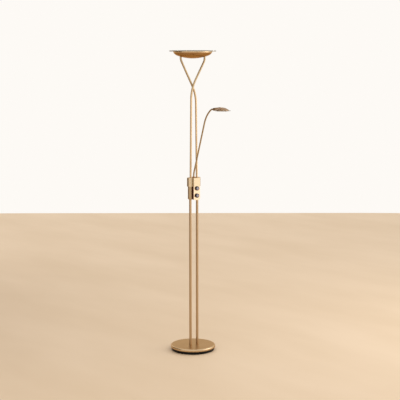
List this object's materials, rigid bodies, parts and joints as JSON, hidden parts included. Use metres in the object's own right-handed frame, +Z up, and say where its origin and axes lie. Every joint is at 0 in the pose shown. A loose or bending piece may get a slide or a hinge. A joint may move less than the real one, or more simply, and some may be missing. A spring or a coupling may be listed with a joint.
{
  "type": "torchiere floor lamp",
  "caption": "Floor lamp with a glass-topped dish on crossing twin tubes, a hooked arm with a tilting reading head, rotary dimmer knobs and a round weighted base.",
  "frame": {"origin": "on the floor under the centre of the base", "axes": "+Z up, +X from the left pole to the right pole, and the front with the dimmer knobs faces -Y"},
  "size_m": [0.276, 0.4656, 1.8],
  "materials": {
    "satin_brass": "satin antique brass plating",
    "black_plastic": "black moulded plastic",
    "dark_metal": "dark bronze paint",
    "black_knob": "black plastic, softly shiny",
    "grey_cap": "grey plastic, satin",
    "frosted_glass": "frosted float glass with a ground edge",
    "foam_pad": "black foam rubber",
    "black_rubber": "black rubber strip",
    "cast_iron": "raw casting",
    "plated_steel": "zinc-plated steel",
    "zinc_casting": "zinc die casting",
    "circuit_board": "green glass-fibre board",
    "white_board": "white metal-core board",
    "dimmer_plastic": "dark moulded plastic",
    "white_plastic": "white moulded plastic",
    "aluminium_sheet": "plain sheet",
    "led_chip": "yellow phosphor",
    "cable_sheath": "black sheath"
  },
  "bodies": {
    "stand": {"base_cover": "satin_brass", "lower_pole_left": "satin_brass", "lower_pole_right": "satin_brass", "switch_sleeve": "satin_brass", "switch_band": "satin_brass", "dimmer_front_plate": "satin_brass", "upper_tube_left": "satin_brass", "upper_tube_right": "satin_brass", "arm_socket": "satin_brass", "dish_bowl": "satin_brass", "base_tray": "black_plastic", "dimmer_case": "black_plastic", "cable_gland": "black_plastic", "dish_glass": "frosted_glass", "floor_pad": "foam_pad", "dish_gasket": "black_rubber", "base_weight": "cast_iron", "base_screws": "plated_steel", "pole_nipples": "plated_steel", "nipple_nuts": "plated_steel", "sleeve_screws": "plated_steel", "clamp_screws": "plated_steel", "dimmer_nuts": "plated_steel", "arm_socket_nut": "plated_steel", "dish_nipples": "plated_steel", "dish_spacers": "plated_steel", "mounting_plate": "plated_steel", "dish_pillars": "plated_steel", "dish_board_screws": "plated_steel", "junction_block": "zinc_casting", "dimmer_board": "circuit_board", "dish_led_board": "white_board", "rotary_dimmers": "dimmer_plastic", "led_driver": "white_plastic", "pole_end_bushes": "white_plastic", "dish_heatsink": "aluminium_sheet", "dish_leds": "led_chip", "pole_cable": "cable_sheath", "dish_cable": "cable_sheath"},
    "upper_dimmer": {"upper_knob": "black_knob", "upper_knob_cap": "grey_cap", "upper_dimmer_shaft": "plated_steel"},
    "lower_dimmer": {"lower_knob": "black_knob", "lower_knob_cap": "grey_cap", "lower_dimmer_shaft": "plated_steel"},
    "reading_arm": {"reading_arm": "satin_brass", "arm_collar": "satin_brass", "arm_retaining_ring": "plated_steel", "arm_knuckle": "dark_metal", "arm_cable": "cable_sheath"},
    "reading_head": {"head_neck": "satin_brass", "tilt_pin": "satin_brass", "head_shell": "satin_brass", "head_heatsink": "aluminium_sheet", "head_led_board": "white_board", "head_leds": "led_chip", "head_glass": "frosted_glass", "head_bezel": "satin_brass", "head_screws": "plated_steel"}
  },
  "joints": [
    {"name": "upper_dimmer_turn", "type": "hinge", "parent": "stand", "child": "upper_dimmer", "pos_m": [0, -0.009, 0.989], "axis": [0, 1, 0], "range_deg": [-135, 135]},
    {"name": "lower_dimmer_turn", "type": "hinge", "parent": "stand", "child": "lower_dimmer", "pos_m": [0, -0.009, 0.946], "axis": [0, 1, 0], "range_deg": [-135, 135]},
    {"name": "arm_swivel", "type": "hinge", "parent": "stand", "child": "reading_arm", "pos_m": [0, -0.009, 1.02], "axis": [0, 0, 1], "range_deg": [-55, 55]},
    {"name": "head_tilt", "type": "hinge", "parent": "reading_arm", "child": "reading_head", "pos_m": [0, -0.20409, 1.4626], "axis": [1, 0, 0], "range_deg": [-30, 45]}
  ]
}
